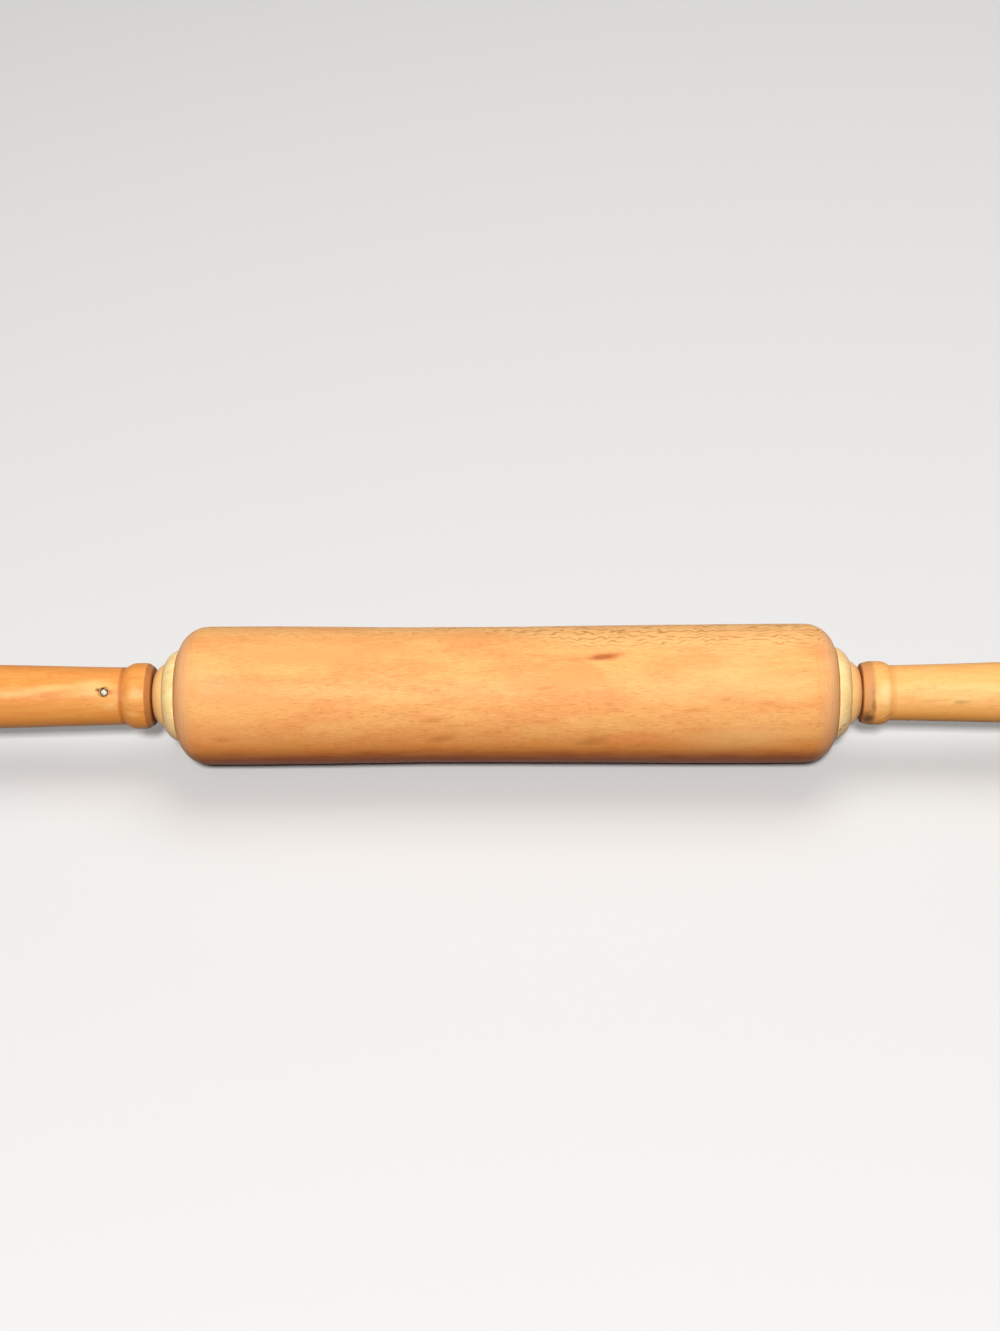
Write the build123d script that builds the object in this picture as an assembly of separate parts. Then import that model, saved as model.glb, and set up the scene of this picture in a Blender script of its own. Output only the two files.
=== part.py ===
from build123d import *
import os

# A turned wooden rolling pin that lies along X with its barrel on the plane z = 0.
# The barrel and its end collars turn on a spindle that is nailed into both handles.
# The frame's origin is on the table, under the middle of the barrel. The front is -Y.
# Sizes are in millimetres.

# Barrel
barrel_length = 254.0
barrel_diameter = 54.0
end_rounding = 11.6
ring_seat_length = 16.0
waist_depth = 0.66
waist_place = -25.0

# Spindle and how it fits
spindle_diameter = 12.7
spindle_chamfer = 1.0
running_clearance = 0.1
barrel_bore_clearance = 1.0
end_gap = 0.35
glue_gap = 0.03

# End collars
spigot_diameter = 24.0
spigot_length = 19.0
spigot_chamfer = 0.8
pocket_spare = 0.6
flange_diameter = 35.9
flange_height = 5.35
notch_diameter = 25.5
notch_width = 0.35
notch_depth = 0.4
collar_height = 9.65
collar_face_diameter = 17.0
collar_curve_radius = 7.4
bore_mouth_chamfer = 0.6

# Handles: sizes that both share. Each grip leaves its neck at a slope, its start share, of rise over run.
handle_length = 91.6
handle_end_wall = 31.5
bead_fall_length = 4.1
bead_rise_length = 1.5
bead_crown = 0.2
nose_length = 15.5
bore_end_gap = 1.5

# Left handle, the stouter one
left_face_diameter = 22.6
left_shoulder_length = 2.0
left_bead_length = 10.6
left_bead_diameter = 25.8
left_neck_diameter = 22.5
left_swell_diameter = 25.2
left_grip_start_share = 0.0155

# Right handle
right_face_diameter = 23.0
right_shoulder_length = 2.4
right_bead_length = 11.1
right_bead_diameter = 24.7
right_neck_diameter = 21.5
right_swell_diameter = 24.2
right_grip_start_share = 0.008

# Nails through the handles into the spindle
nail_distance = 17.9
nail_shank_diameter = 1.8
nail_length = 18.0
nail_point_length = 1.6
nail_head_diameter = 3.2
nail_head_thickness = 0.6
nail_head_crown = 0.22
nail_fit = 0.02
nail_tip_gap = 0.3
pit_diameter = 4.1
pit_depth = 1.15
# Each nail's turn about the pin from upright, towards the front, in degrees. The right one faces the other way.
left_nail_lean = 41.0
right_nail_lean = 221.0

# Places and radii that follow
axis_height = barrel_diameter / 2
barrel_radius = barrel_diameter / 2
barrel_end = barrel_length / 2
spindle_radius = spindle_diameter / 2
spigot_radius = spigot_diameter / 2
collar_bore_radius = spindle_radius + running_clearance
collar_face_place = barrel_end + collar_height
handle_face_place = collar_face_place + end_gap
handle_end = handle_face_place + handle_length
handle_bore_end = handle_end - handle_end_wall
spindle_end = handle_bore_end - bore_end_gap
nail_place = handle_face_place + nail_distance


def turned(outline):
    """A piece off the lathe: a closed outline of (place along the pin, radius), turned about its line."""
    return revolve(make_face(outline), Axis.X)


def make_barrel():
    """The roller: rounded ends, a straight seat beside each, and a shallow worn waist between."""
    straight_end = barrel_end - end_rounding
    seat_end = straight_end - ring_seat_length
    pocket_radius = spigot_radius + glue_gap
    pocket_end = barrel_end - spigot_length - pocket_spare
    bore_radius = spindle_radius + barrel_bore_clearance
    left_rounding = JernArc((-barrel_end, barrel_radius - end_rounding), (0, 1), end_rounding, -90)
    right_rounding = JernArc((straight_end, barrel_radius), (1, 0), end_rounding, -90)
    waist_bottom = (waist_place, barrel_radius - waist_depth)
    left_waist = Spline((-seat_end, barrel_radius), waist_bottom, tangents=[(1, 0), (1, 0)])
    right_waist = Spline(waist_bottom, (seat_end, barrel_radius), tangents=[(1, 0), (1, 0)])
    inside = Polyline(
        (barrel_end, barrel_radius - end_rounding),
        (barrel_end, pocket_radius),
        (pocket_end, pocket_radius),
        (pocket_end, bore_radius),
        (-pocket_end, bore_radius),
        (-pocket_end, pocket_radius),
        (-barrel_end, pocket_radius),
        (-barrel_end, barrel_radius - end_rounding),
    )
    outside = [
        left_rounding,
        Line((-straight_end, barrel_radius), (-seat_end, barrel_radius)),
        left_waist,
        right_waist,
        Line((seat_end, barrel_radius), (straight_end, barrel_radius)),
        right_rounding,
    ]
    return turned([*outside, inside])


def make_right_collar():
    """A bush with a spigot in the barrel's pocket, and a flange and a dome that meet in a fine notch."""
    inner_end = barrel_end - spigot_length
    notch_place = barrel_end + flange_height
    behind = Polyline(
        (collar_face_place - bore_mouth_chamfer, collar_bore_radius),
        (inner_end, collar_bore_radius),
        (inner_end, spigot_radius - spigot_chamfer),
        (inner_end + spigot_chamfer, spigot_radius),
        (barrel_end, spigot_radius),
        (barrel_end, flange_diameter / 2),
    )
    dome_start = (notch_place, notch_diameter / 2)
    flange_end = (notch_place, notch_diameter / 2 + notch_width)
    flange = RadiusArc((barrel_end, flange_diameter / 2), flange_end, collar_curve_radius)
    notch = Polyline(flange_end, (notch_place - notch_depth, notch_diameter / 2), dome_start)
    dome = RadiusArc(dome_start, (collar_face_place, collar_face_diameter / 2), collar_curve_radius)
    face = Polyline(
        (collar_face_place, collar_face_diameter / 2),
        (collar_face_place, collar_bore_radius + bore_mouth_chamfer),
        (collar_face_place - bore_mouth_chamfer, collar_bore_radius),
    )
    return turned([behind, flange, notch, dome, face])


def make_right_handle(
    face_diameter,
    shoulder_length,
    bead_length,
    bead_diameter,
    neck_diameter,
    swell_diameter,
    grip_start_share,
):
    """A handle on the right: chamfered face, bead, neck, grip that swells outward, and a domed nose."""
    bore_radius = spindle_radius + glue_gap
    bead_radius = bead_diameter / 2
    shoulder = (handle_face_place + shoulder_length, bead_radius - bead_crown)
    crest_start = (shoulder[0] + bead_rise_length, bead_radius)
    valley = (handle_face_place + bead_length, neck_diameter / 2)
    crest_end = (valley[0] - bead_fall_length, bead_radius)
    nose_start = (handle_end - nose_length, swell_diameter / 2)
    face = Polyline(
        (handle_bore_end, 0),
        (handle_bore_end, bore_radius),
        (handle_face_place, bore_radius),
        (handle_face_place, face_diameter / 2),
        shoulder,
    )
    grip = Spline(valley, nose_start, tangents=[(1, grip_start_share), (1, 0)])
    nose = EllipticalCenterArc(
        (nose_start[0], 0), nose_length, swell_diameter / 2, start_angle=0, arc_size=90
    )
    outline = [
        face,
        TangentArc(crest_start, shoulder, tangent=(-1, 0)),
        Line(crest_start, crest_end),
        TangentArc(crest_end, valley, tangent=(1, 0)),
        grip,
        nose,
        Line((handle_end, 0), (handle_bore_end, 0)),
    ]
    return turned(outline)


def make_spindle():
    """The dowel that runs from handle to handle, with its two end edges chamfered."""
    straight_end = spindle_end - spindle_chamfer
    outline = Polyline(
        (-spindle_end, 0),
        (-spindle_end, spindle_radius - spindle_chamfer),
        (-straight_end, spindle_radius),
        (straight_end, spindle_radius),
        (spindle_end, spindle_radius - spindle_chamfer),
        (spindle_end, 0),
        (-spindle_end, 0),
    )
    return turned([outline])


def nail_stand(side, lean):
    """Where a nail stands: on the pin's line, with its own X pointing out through the handle's wall."""
    return Pos(side * nail_place, 0, 0) * Rot(X=lean) * Rot(Y=-90)


def make_nail(neck_diameter):
    """A nail along X: a pointed shank that crosses the pin's line, and a flat head with a low crown."""
    seat = neck_diameter / 2 - pit_depth
    tip = seat - nail_length
    shank_radius = nail_shank_diameter / 2
    head_radius = nail_head_diameter / 2
    head_rim = seat + nail_head_thickness
    head_top = head_rim + nail_head_crown
    body = Polyline(
        (head_top, 0),
        (tip, 0),
        (tip + nail_point_length, shank_radius),
        (seat, shank_radius),
        (seat, head_radius),
        (head_rim, head_radius),
    )
    crown = TangentArc((head_top, 0), (head_rim, head_radius), tangent=(0, 1))
    return turned([body, crown])


def make_nail_hole(neck_diameter):
    """What a nail takes away: its shank's hole, and a wider pit above its head's seat."""
    seat = neck_diameter / 2 - pit_depth
    hole_end = seat - nail_length - nail_tip_gap
    hole_radius = nail_shank_diameter / 2 + nail_fit
    outside = neck_diameter
    outline = Polyline(
        (hole_end, 0),
        (hole_end, hole_radius),
        (seat, hole_radius),
        (seat, pit_diameter / 2),
        (outside, pit_diameter / 2),
        (outside, 0),
        (hole_end, 0),
    )
    return turned([outline])


left_stand = nail_stand(-1, left_nail_lean)
right_stand = nail_stand(1, right_nail_lean)
left_hole = left_stand * make_nail_hole(left_neck_diameter)
right_hole = right_stand * make_nail_hole(right_neck_diameter)

right_collar = make_right_collar()
left_handle = mirror(
    make_right_handle(
        left_face_diameter,
        left_shoulder_length,
        left_bead_length,
        left_bead_diameter,
        left_neck_diameter,
        left_swell_diameter,
        left_grip_start_share,
    ),
    about=Plane.YZ,
)
right_handle = make_right_handle(
    right_face_diameter,
    right_shoulder_length,
    right_bead_length,
    right_bead_diameter,
    right_neck_diameter,
    right_swell_diameter,
    right_grip_start_share,
)

pieces = {
    "barrel": make_barrel(),
    "left_end_collar": mirror(right_collar, about=Plane.YZ),
    "right_end_collar": right_collar,
    "spindle": make_spindle() - left_hole - right_hole,
    "left_handle": left_handle - left_hole,
    "right_handle": right_handle - right_hole,
    "left_handle_nail": left_stand * make_nail(left_neck_diameter),
    "right_handle_nail": right_stand * make_nail(right_neck_diameter),
}

os.makedirs("parts", exist_ok=True)
for name, piece in pieces.items():
    export_step(Pos(0, 0, axis_height) * piece, f"parts/{name}.step")
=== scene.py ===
import math

import bpy
import numpy as np
from mathutils import Matrix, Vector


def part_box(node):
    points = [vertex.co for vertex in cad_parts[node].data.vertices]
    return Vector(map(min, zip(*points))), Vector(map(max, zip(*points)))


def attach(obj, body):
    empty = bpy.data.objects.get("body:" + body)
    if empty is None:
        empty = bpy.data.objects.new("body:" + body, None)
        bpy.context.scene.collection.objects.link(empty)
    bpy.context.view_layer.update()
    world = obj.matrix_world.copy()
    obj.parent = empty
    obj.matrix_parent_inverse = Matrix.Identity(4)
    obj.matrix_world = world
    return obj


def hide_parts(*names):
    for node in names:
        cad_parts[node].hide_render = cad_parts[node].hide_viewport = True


bl_info = {
    "name": "Turned Rolling Pin",
    "version": (1, 0, 0),
    "blender": (4, 5, 0),
    "location": "3D View > Sidebar > Rolling Pin",
    "description": "Turns the pieces of a worn wooden rolling pin and gives them their wood and steel",
    "category": "Add Mesh",
}

# The pin lies along X with its barrel on the plane z = 0, and the front is -Y. Lengths are in metres.
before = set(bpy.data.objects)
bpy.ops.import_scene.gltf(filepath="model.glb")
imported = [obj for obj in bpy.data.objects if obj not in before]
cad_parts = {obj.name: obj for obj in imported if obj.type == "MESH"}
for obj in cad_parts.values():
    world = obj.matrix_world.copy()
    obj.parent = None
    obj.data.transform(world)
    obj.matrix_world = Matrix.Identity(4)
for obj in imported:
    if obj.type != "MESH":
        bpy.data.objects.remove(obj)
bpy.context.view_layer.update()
MM = 0.001
barrel_low, barrel_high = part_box("barrel")
collar_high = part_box("right_end_collar")[1]
handle_low, handle_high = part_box("right_handle")
AXIS_HEIGHT = (barrel_low.z + barrel_high.z) / 2
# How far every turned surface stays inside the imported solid, so that wear only takes wood away.
SKIN = 0.02 * MM
# Outlines are softened in steps of this length, and keep a point wherever they have turned by this angle.
PACE = 0.04 * MM
BEND = math.radians(8)


def tone(red, green, blue):
    """A colour given as the 0 to 255 values of a screen, as the linear values that a shader takes."""
    screen = np.array([red, green, blue]) / 255
    linear = np.where(screen <= 0.04045, screen / 12.92, ((screen + 0.055) / 1.055) ** 2.4)
    return tuple(float(value) for value in linear)


# Outlines: arrays of (place along the pin, radius), walked so that the wood lies on one side


def corners(*points):
    """Straight runs from point to point."""
    return np.array(points, float)


def arc(start, end, radius, count=120):
    """Part of a circle that bulges away from the pin's line.

    The centre stands on the chord's perpendicular bisector, on the side of the pin's line, at the distance
    that gives the radius. The angle runs evenly from one end to the other.
    """
    start, end = np.array(start), np.array(end)
    chord = end - start
    length = np.hypot(*chord)
    inward = np.array([chord[1], -chord[0]]) / length
    inward = inward * (-1 if inward[1] > 0 else 1)
    centre = (start + end) / 2 + inward * math.sqrt(radius**2 - length**2 / 4)
    first = np.arctan2(*(start - centre)[::-1])
    last = np.arctan2(*(end - centre)[::-1])
    angle = np.linspace(first, last, count)
    return centre + radius * np.column_stack([np.cos(angle), np.sin(angle)])


def crest(top, foot, count=80):
    """Part of a circle that leaves its top along the pin and falls to its foot, on either side.

    The radius is (run^2 + fall^2) / (2 fall), and the point at angle a from the top is run by radius sin a
    and fall by radius (1 - cos a).
    """
    run, fall = foot[0] - top[0], top[1] - foot[1]
    radius = (run**2 + fall**2) / (2 * fall)
    angle = np.linspace(0, math.asin(run / radius), count)
    return np.column_stack([top[0] + radius * np.sin(angle), top[1] - radius * (1 - np.cos(angle))])


def ease(start, end, slope=0.0, count=400):
    """A cubic from start to end that leaves at the slope given and arrives level.

    With t from 0 to 1 along the run, the radius is the cubic Hermite blend of the two radii and slopes.
    """
    t = np.linspace(0, 1, count)
    run = end[0] - start[0]
    radius = (
        (2 * t**3 - 3 * t**2 + 1) * start[1]
        + (t**3 - 2 * t**2 + t) * run * slope
        + (3 * t**2 - 2 * t**3) * end[1]
    )
    return np.column_stack([start[0] + run * t, radius])


def quarter(centre, length, height, count=120):
    """A quarter of an ellipse about its centre: length sin a along the pin and height cos a out from it."""
    angle = np.radians(np.linspace(0, 90, count))
    return np.column_stack([centre[0] + length * np.sin(angle), centre[1] + height * np.cos(angle)])


def smooth(value, low, high):
    """0 below low, 1 above high, and 3 t^2 - 2 t^3 between."""
    t = np.clip((value - low) / (high - low), 0, 1)
    return t * t * (3 - 2 * t)


def stations(along, gap, closed):
    """Places along a line whose neighbours stand one gap apart: even steps of the integral of 1 / gap."""
    steps = np.concatenate([[0], np.cumsum(2 * np.diff(along) / (gap[1:] + gap[:-1]))])
    wanted = np.linspace(0, steps[-1], math.ceil(steps[-1]) + 1)
    return np.interp(wanted[:-1] if closed else wanted, steps, along)


def blurred(values, sigma, closed, odd=False):
    """A Gaussian mean along the rows.

    A closed line goes on round. Past an open line's ends it goes on in mirror image, with its sign turned
    where it is odd about them.
    """
    reach = int(4 * sigma) + 1
    if closed:
        padded = np.concatenate([values[-reach - 1 : -1], values, values[1 : reach + 1]])
    else:
        sign = -1 if odd else 1
        padded = np.concatenate([sign * values[reach:0:-1], values, sign * values[-2 : -reach - 2 : -1]])
    weight = np.exp(-0.5 * (np.arange(-reach, reach + 1) / sigma) ** 2)
    return np.convolve(padded, weight / weight.sum(), mode="valid")


def turned_line(parts, closed, coarse, softening, close_up=None):
    """An outline as it comes off the lathe and out of use: corners softened, points close where it bends.

    The parts are walked at an even pace and each coordinate is blurred along the walk, which rounds the
    corners. An open line starts and ends at radius 0, so its radius is odd about its ends. The gap between
    the points that are kept is the length in which the line turns by BEND, between a twelfth of coarse and
    coarse, and close_up may lower it further.
    """
    path = np.concatenate(parts)
    if closed:
        path = np.concatenate([path, path[:1]])
    walked = np.concatenate([[0], np.cumsum(np.hypot(*np.diff(path, axis=0).T))])
    even = np.linspace(0, walked[-1], int(walked[-1] / PACE))
    place = blurred(np.interp(even, walked, path[:, 0]), softening / PACE, closed)
    radius = blurred(np.interp(even, walked, path[:, 1]), softening / PACE, closed, odd=True)
    heading = np.unwrap(np.arctan2(np.gradient(radius), np.gradient(place)))
    bend = np.abs(np.gradient(heading)) / PACE
    straight = 1e-6
    gap = np.clip(BEND / np.maximum(bend, straight), coarse / 12, coarse)
    if close_up is not None:
        gap = np.minimum(gap, close_up(place, radius))
    gap_blur = 0.4 * MM
    gap = np.exp(blurred(np.log(gap), gap_blur / PACE, closed))
    kept = stations(even, gap, closed)
    return np.column_stack([np.interp(kept, even, place), np.interp(kept, even, radius)])


def turn_from(angle, angles):
    """The turn from one angle to each of the others, from minus half a turn to half a turn."""
    return (angles - angle + math.pi) % math.tau - math.pi


def full_turn(step, close_to=None, close_step=None, reach=None):
    """Angles round the pin, from upright towards the front, one step apart, or closer near one angle.

    Both steps are in degrees. The gap grows smoothly from close_step to step between reach and twice reach.
    """
    angles = np.linspace(0, math.tau, 360 * 8 + 1)
    gap = np.full_like(angles, math.radians(step))
    if close_to is not None:
        closest = math.radians(close_step)
        gap = closest + (gap - closest) * smooth(np.abs(turn_from(close_to, angles)), reach, 2 * reach)
    return stations(angles, gap, closed=True)


def turned_grid(outline, angles):
    """Points of the turned surface about the pin's line: (place, -radius sin a, radius cos a)."""
    place = np.broadcast_to(outline[:, :1], (len(outline), len(angles)))
    radius = outline[:, 1:]
    return np.stack([place, -radius * np.sin(angles), radius * np.cos(angles)], axis=-1)


def wear(grid, angles, seed, dents, depth, skin_radius):
    """The grid after long use: a slow unevenness and shallow oval dents, all inwards, on the outside only.

    The unevenness is a sum of six waves in place and angle with seeded phases. Each dent is a Gaussian bump
    about a seeded place and angle. Both scale the distance from the pin's line and fade below skin_radius.
    """
    rng = np.random.default_rng(seed)
    place = grid[..., 0]
    radius = np.hypot(grid[..., 1], grid[..., 2])
    sink = np.zeros_like(radius)
    for turns in (1, 2, 3, 4, 6, 9):
        wave_length = rng.uniform(28, 90) * MM
        phase = rng.uniform(0, math.tau, 2)[0]
        sink += (1 + np.cos(turns * angles + math.tau * place / wave_length + phase)) / (4 + turns)
    sink *= depth * 0.5
    low, high = place.min(), place.max()
    for _ in range(dents):
        middle = rng.uniform(low, high)
        angle = rng.uniform(0, math.tau)
        half_length, half_width = rng.uniform(0.8, 3.2) * MM, rng.uniform(0.5, 1.4) * MM
        across = turn_from(angle, angles) * radius
        spread = ((place - middle) / half_length) ** 2 + (across / half_width) ** 2
        sink += depth * rng.uniform(0.5, 1.6) * np.exp(-spread)
    share = smooth(radius, skin_radius - 1.5 * MM, skin_radius) * (sink + SKIN) / np.maximum(radius, MM)
    worn = grid.copy()
    worn[..., 1:] *= (1 - share)[..., None]
    return worn


# Meshes


def add_object(name, data):
    """An object in the scene that shows a mesh, a lamp or a camera."""
    holder = bpy.data.objects.new(name, data)
    bpy.context.scene.collection.objects.link(holder)
    return holder


def add_mesh(name, points, faces, material):
    """A smooth-shaded mesh of one material."""
    mesh = bpy.data.meshes.new(name)
    mesh.from_pydata(points.tolist(), [], faces)
    mesh.shade_smooth()
    mesh.materials.append(material)
    return add_object(name, mesh)


def quads_between(first, after, columns):
    """Four-sided faces all round between rows, from the first point of each row and of the row after it."""
    column = np.arange(columns)
    beside = (column + 1) % columns
    first, after = first[:, None], after[:, None]
    return np.stack([first + column, first + beside, after + beside, after + column], axis=-1).reshape(-1, 4)


def fan(tip, first, columns):
    """Three-sided faces all round between one point and the row that starts at the first point given."""
    column = np.arange(columns)
    return np.column_stack([np.full(columns, tip), first + (column + 1) % columns, first + column])


def surface(name, grid, body, node, material, closed):
    """A closed mesh through a grid of points about the pin's line, which stands for a node of the frame.

    Rows follow the outline and columns the turn. An open outline starts and ends on the line, so its first
    and last rows close into one point each. Quads join the rest, and the sign of the volume sets which way
    they face.
    """
    rows, columns = grid.shape[:2]
    if closed:
        points = grid.reshape(-1, 3)
        first = np.arange(rows) * columns
        after = np.roll(first, -1)
        tips = np.empty((0, 3), int)
    else:
        points = np.concatenate([grid[1:-1].reshape(-1, 3), grid[0, :1], grid[-1, :1]])
        first = np.arange(rows - 3) * columns
        after = first + columns
        start, end = len(points) - 2, len(points) - 1
        tips = np.concatenate([fan(start, 0, columns), fan(end, after[-1], columns)[:, ::-1]])
    quads = quads_between(first, after, columns)
    corner, second, third = (points[quads[:, index]] for index in range(3))
    volume = np.einsum("ij,ij->", corner, np.cross(second - corner, third - corner))
    outwards = slice(None, None, -1 if volume < 0 else 1)
    faces = quads[:, outwards].tolist() + tips[:, outwards].tolist()
    piece = add_mesh(name, points + (0, 0, AXIS_HEIGHT), faces, material)
    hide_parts(node)
    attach(piece, body)


# Materials

# Edges of marks: how far noise moves the edge, and how wide it is, both as shares of the mark's own size.
CLOUD = (0.5, 0.9)
SHINE = (0.3, 0.9)
STAIN = (0.5, 0.8)
SMUDGE = (0.4, 0.7)
KNOT = (0.3, 0.6)
KNOT_CORE = (0.35, 0.7)
RUBBED = (0.4, 0.6)
CHIP = (0.35, 0.5)
NICK = (0.3, 0.5)
SCRATCH = (0.15, 0.5)
PIT_RIM = (0.14, 0.12)


class Shader:
    """The nodes of one material. Its place is the object coordinate in millimetres from the pin's line."""

    def __init__(self, name):
        self.material = bpy.data.materials.new(name)
        self.material.use_nodes = True
        self.tree = self.material.node_tree
        self.tree.nodes.clear()
        self.surface = self.add("BsdfPrincipled")
        self.add("OutputMaterial", {"Surface": self.surface.outputs[0]})
        seen = self.add("TexCoord").outputs["Object"]
        to_line = (0, 0, -AXIS_HEIGHT / MM)
        per_mm = (1 / MM,) * 3
        self.place = self.add("Mapping", {"Vector": seen, "Location": to_line, "Scale": per_mm}).outputs[0]
        self.along, self.back, self.up = self.add("SeparateXYZ", {0: self.place}).outputs

    def join(self, socket, value):
        """Feeds a socket from an output, or sets it to a value."""
        if isinstance(value, bpy.types.NodeSocket):
            self.tree.links.new(value, socket)
        elif socket.type == "RGBA":
            socket.default_value = (*value, 1.0)
        else:
            socket.default_value = value

    def add(self, kind, sockets=None, **settings):
        """One node: its settings, then each socket's value or the output that feeds it."""
        node = self.tree.nodes.new("ShaderNode" + kind)
        for name, value in settings.items():
            setattr(node, name, value)
        for name, value in (sockets or {}).items():
            self.join(node.inputs[name], value)
        return node

    def math(self, operation, first, second=0.0, third=0.0):
        """One sum on numbers."""
        return self.add("Math", {0: first, 1: second, 2: third}, operation=operation).outputs[0]

    def times(self, first, second):
        """The product of two numbers."""
        return self.math("MULTIPLY", first, second)

    def scaled(self, value, factor, start):
        """The start, and the value times a factor on top of it."""
        return self.math("MULTIPLY_ADD", value, factor, start)

    def toward(self, facing):
        """How far the place lies in a direction from the pin's line, in millimetres."""
        sockets = {0: self.place, 1: facing}
        return self.add("VectorMath", sockets, operation="DOT_PRODUCT").outputs["Value"]

    def fade(self, value, low, high, top=1.0):
        """0 at low and top at high, smooth between. Low may be the greater."""
        sockets = {"Value": value, "From Min": low, "From Max": high, "To Max": top}
        return self.add("MapRange", sockets, interpolation_type="SMOOTHSTEP").outputs[0]

    def band(self, value, middle, half, feather):
        """1 where the value lies within half of the middle, with soft edges."""
        away = self.math("ABSOLUTE", self.math("SUBTRACT", value, middle))
        return self.fade(away, half + feather, half)

    def stretched(self, sizes, turn=(0, 0, 0), where=(0, 0, 0)):
        """The place divided by three lengths, after a turn about a point, so that one unit is one length."""
        sockets = {"Vector": self.place, "Location": where, "Rotation": turn, "Scale": sizes}
        return self.add("Mapping", sockets, vector_type="TEXTURE").outputs[0]

    def noise(self, sizes, detail=3.0, roughness=0.55, distortion=0.0, where=(0, 0, 0)):
        """Soft noise from 0 to 1 whose patches have the three lengths given, in millimetres."""
        sockets = {
            "Vector": self.stretched(sizes, where=where),
            "Scale": 1.0,
            "Detail": detail,
            "Roughness": roughness,
            "Distortion": distortion,
        }
        return self.add("TexNoise", sockets).outputs["Fac"]

    def spot(self, where, sizes, edge, turn=(0, 0, 0)):
        """1 in an oval about a point and 0 outside it, with an edge that noise makes uneven."""
        ragged, feather = edge
        at = self.stretched(sizes, turn, where)
        distance = self.add("VectorMath", {0: at}, operation="LENGTH").outputs["Value"]
        rough = self.scaled(self.noise([size * 0.8 for size in sizes], detail=4.0), 2 * ragged, -ragged)
        return self.fade(self.math("ADD", distance, rough), 1.0, 1.0 - feather)

    def mark(self, place, up, radius, size, tilt, edge):
        """A spot that lies on a turned surface, at a place along the pin and an angle up from the front.

        Its size is half its length, half its width round the pin and half its depth. Its length runs along
        the pin and is tilted up to the right. Angles are in degrees.
        """
        up, tilt = math.radians(up), math.radians(tilt)
        where = (place, -radius * math.cos(up), radius * math.sin(up))
        turn = (math.pi / 2 - up, -tilt * math.cos(up), tilt * math.sin(up))
        return self.spot(where, size, edge, turn)

    def mix(self, share, first, second):
        """One colour laid over another."""
        return self.add("Mix", {0: share, 6: first, 7: second}, data_type="RGBA").outputs[2]

    def coats(self, colour, *coats):
        """Colours laid over the first in turn, each given as (colour, mask, share where the mask is 1)."""
        for over, mask, share in coats:
            colour = self.mix(self.times(mask, share), colour, over)
        return colour

    def finish(self, colour, roughness, height, depth, **fixed):
        """Joins the colour, the roughness and a relief, and sets the values that are the same all over.

        The relief is the height given, from 0 to 1, times a depth in millimetres.
        """
        relief = self.add("Bump", {"Height": height, "Distance": depth * MM}).outputs[0]
        values = {"Base Color": colour, "Roughness": roughness, "Normal": relief, **fixed}
        for name, value in values.items():
            self.join(self.surface.inputs[name.replace("_", " ")], value)
        return self.material


def rising(angle):
    """The direction across the pin that rises from the back by an angle in radians."""
    return 0, math.cos(angle), math.sin(angle)


def growth_rings(s, facing, width, curl, seed):
    """Fine dark lines where the year's growth ends, across flat layers that face the direction given.

    The place in that direction is bent by a slow noise, a quick noise and a zigzag, which is a sine of the
    place along the pin whose phase wanders, and is divided by the layers' width. The whole number that
    comes out picks the layer's tint, from 0 to 1. The fraction left over climbs to a dark line near 1, which
    noise breaks up and the tint strengthens. Where the surface runs with the layers the lines spread out and
    zigzag, and where it cuts across them they are straight and close. It returns the lines and the tint.
    """
    wander, zigzag_length = 24, 6.4
    slow = s.noise((60, 16, 16), detail=1.0, where=(seed, 0, 0))
    quick = s.noise((10, 4, 4), detail=2.0, roughness=0.6, where=(0, seed, 0))
    phase = s.scaled(s.noise((26, 12, 12), detail=2.0, where=(0, 0, seed)), wander, s.along)
    zigzag = s.math("SINE", s.times(phase, math.tau / zigzag_length))
    bent = s.toward(facing)
    for bending, reach in ((slow, 7), (quick, 1.4 * curl), (zigzag, 0.24 * curl)):
        bent = s.scaled(bending, reach, bent)
    ring = s.math("DIVIDE", bent, width)
    inside = s.math("FRACT", ring)
    tint = s.add("TexWhiteNoise", {"W": s.math("FLOOR", ring)}, noise_dimensions="1D").outputs["Value"]
    line = s.times(s.fade(inside, 0.3, 0.85), s.fade(inside, 1.0, 0.88))
    broken = s.fade(s.noise((7, 2.6, 2.6), detail=2.0, roughness=0.6, where=(seed, seed, 0)), 0.32, 0.58)
    return s.times(line, s.times(broken, s.scaled(tint, 0.45, 0.75))), tint


def flecks(s, length, thickness, share, seed):
    """Short dark dashes along the grain: the middles of some stretched cells."""
    at = s.stretched((length, thickness, thickness), where=(seed, seed, 0))
    cells = s.add("TexVoronoi", {"Vector": at, "Scale": 1.0, "Randomness": 1.0})
    chosen = s.add("SeparateColor", {0: cells.outputs["Color"]}).outputs[0]
    middle = s.fade(cells.outputs["Distance"], 0.45, 0.1)
    return s.times(middle, s.math("LESS_THAN", chosen, share))


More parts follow.
